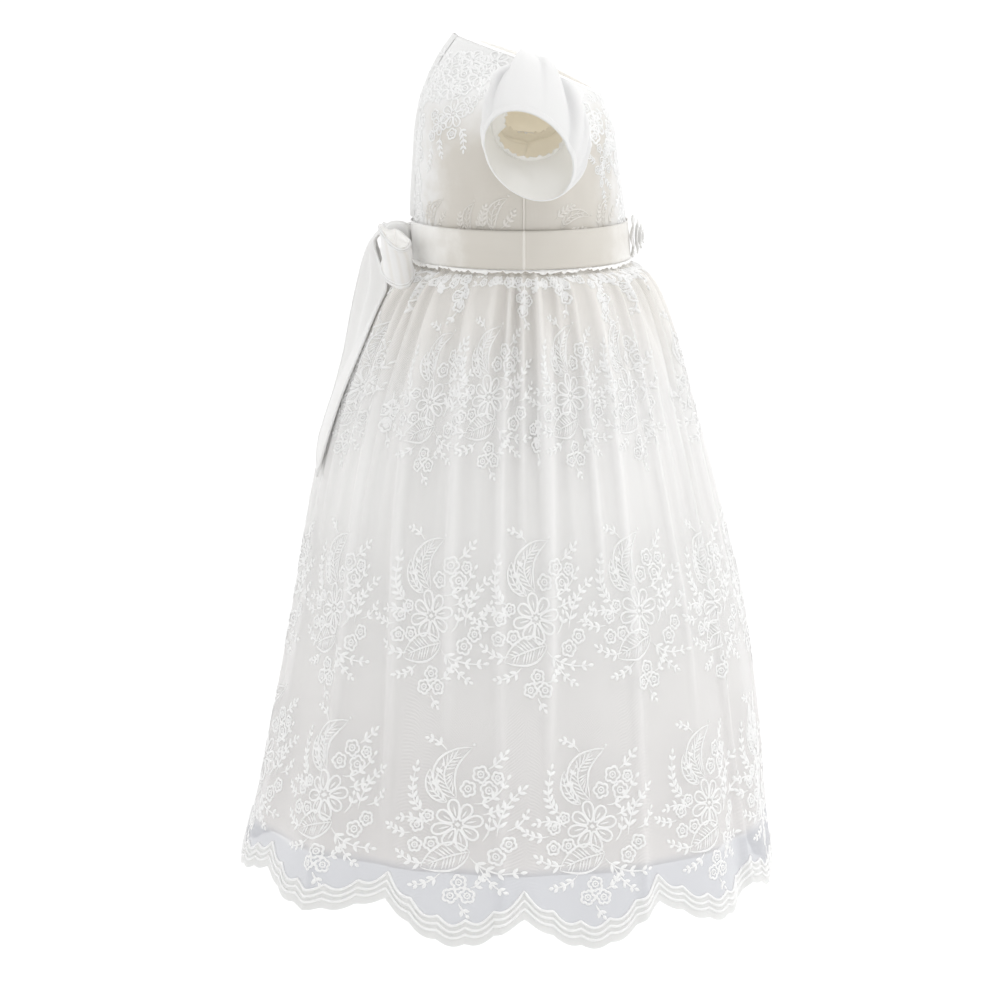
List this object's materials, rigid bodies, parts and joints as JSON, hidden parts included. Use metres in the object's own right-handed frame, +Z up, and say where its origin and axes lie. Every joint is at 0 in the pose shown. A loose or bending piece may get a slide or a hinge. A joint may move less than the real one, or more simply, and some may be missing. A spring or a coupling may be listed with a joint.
{
  "type": "christening gown",
  "caption": "White christening gown of embroidered tulle over an opaque lining, with short puff sleeves and a satin belt tied in a bow at the back.",
  "frame": {"origin": "between the shoulders, level with the back neckline, where the wearer's body holds the gown up", "axes": "+Z up, -Y towards the gown's front, +Y towards its back and bow, -X towards the wearer's right sleeve"},
  "size_m": [0.426, 0.4096, 0.6477],
  "materials": {
    "embroidered_tulle": "sheer net with raised white embroidery",
    "cotton_lining": "plain matt weave",
    "sleeve_voile": "fine soft weave",
    "satin_ribbon": "soft satin sheen"
  },
  "bodies": {
    "root": {"bodice_front": "embroidered_tulle", "bodice_back_right": "embroidered_tulle", "bodice_back_left": "embroidered_tulle", "back_placket": "embroidered_tulle", "sleeve_right": "sleeve_voile", "sleeve_left": "sleeve_voile", "skirt_lace_front": "embroidered_tulle", "skirt_lace_back": "embroidered_tulle", "skirt_lining_front": "cotton_lining", "skirt_lining_back": "cotton_lining", "belt_front": "satin_ribbon", "belt_back": "satin_ribbon", "bow_knot": "satin_ribbon", "bow_loop_right": "satin_ribbon", "bow_loop_left": "satin_ribbon", "bow_tail_right": "satin_ribbon", "bow_tail_left": "satin_ribbon", "rosette": "satin_ribbon"}
  },
  "joints": []
}
